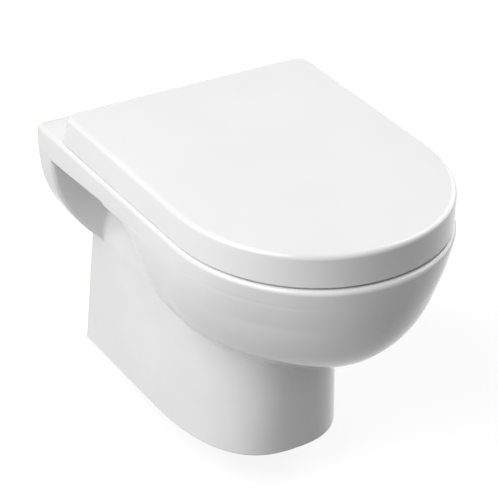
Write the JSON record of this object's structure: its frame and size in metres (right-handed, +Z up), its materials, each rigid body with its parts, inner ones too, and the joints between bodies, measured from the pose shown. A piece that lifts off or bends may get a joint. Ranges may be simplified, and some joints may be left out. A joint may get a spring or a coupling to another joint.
{
  "type": "wall hung toilet pan with seat and cover",
  "caption": "Wall hung ceramic toilet pan with a short rear flange, trap shroud, soft close seat ring and D shaped cover that both hinge at the back.",
  "frame": {"origin": "midway between the two wall fixing holes, on the wall plane", "axes": "+Z up, +Y into the wall along the fixing holes, so the pan projects towards -Y; X across the pan"},
  "size_m": [0.348, 0.528, 0.383],
  "materials": {
    "glazed_ceramic": "white vitreous glaze, gloss",
    "seat_plastic": "moulded white urea plastic, gloss",
    "buffer_rubber": "soft pale grey, matt",
    "gasket_rubber": "black, matt",
    "hinge_metal": "chrome plated, polished",
    "steel": "stainless, turned",
    "nylon": "natural nylon, matt",
    "damper_plastic": "grey acetal, matt"
  },
  "bodies": {
    "pan": {"pan": "glazed_ceramic", "hinge_post_left": "hinge_metal", "hinge_post_right": "hinge_metal", "hinge_pin_left": "steel", "hinge_pin_right": "steel", "base_discs": "hinge_metal", "disc_gaskets": "gasket_rubber", "seat_studs": "steel", "stud_bushes": "nylon", "stud_washers": "steel", "wing_nuts": "nylon", "wall_sleeves": "nylon", "wall_washers": "steel", "wall_nuts": "steel", "flush_inlet_seal": "gasket_rubber"},
    "seat": {"seat_ring": "seat_plastic", "seat_buffers": "buffer_rubber", "seat_damper": "damper_plastic", "seat_hinge_bush": "nylon"},
    "cover": {"cover": "seat_plastic", "cover_buffers": "buffer_rubber", "cover_damper": "damper_plastic", "cover_hinge_bush": "nylon"}
  },
  "joints": [
    {"name": "seat_hinge", "type": "hinge", "parent": "pan", "child": "seat", "pos_m": [0, -0.064, 0.1065], "axis": [-1, 0, 0], "range_deg": [0, 92]},
    {"name": "cover_hinge", "type": "hinge", "parent": "seat", "child": "cover", "pos_m": [0, -0.064, 0.1065], "axis": [-1, 0, 0], "range_deg": [0, 95]}
  ]
}
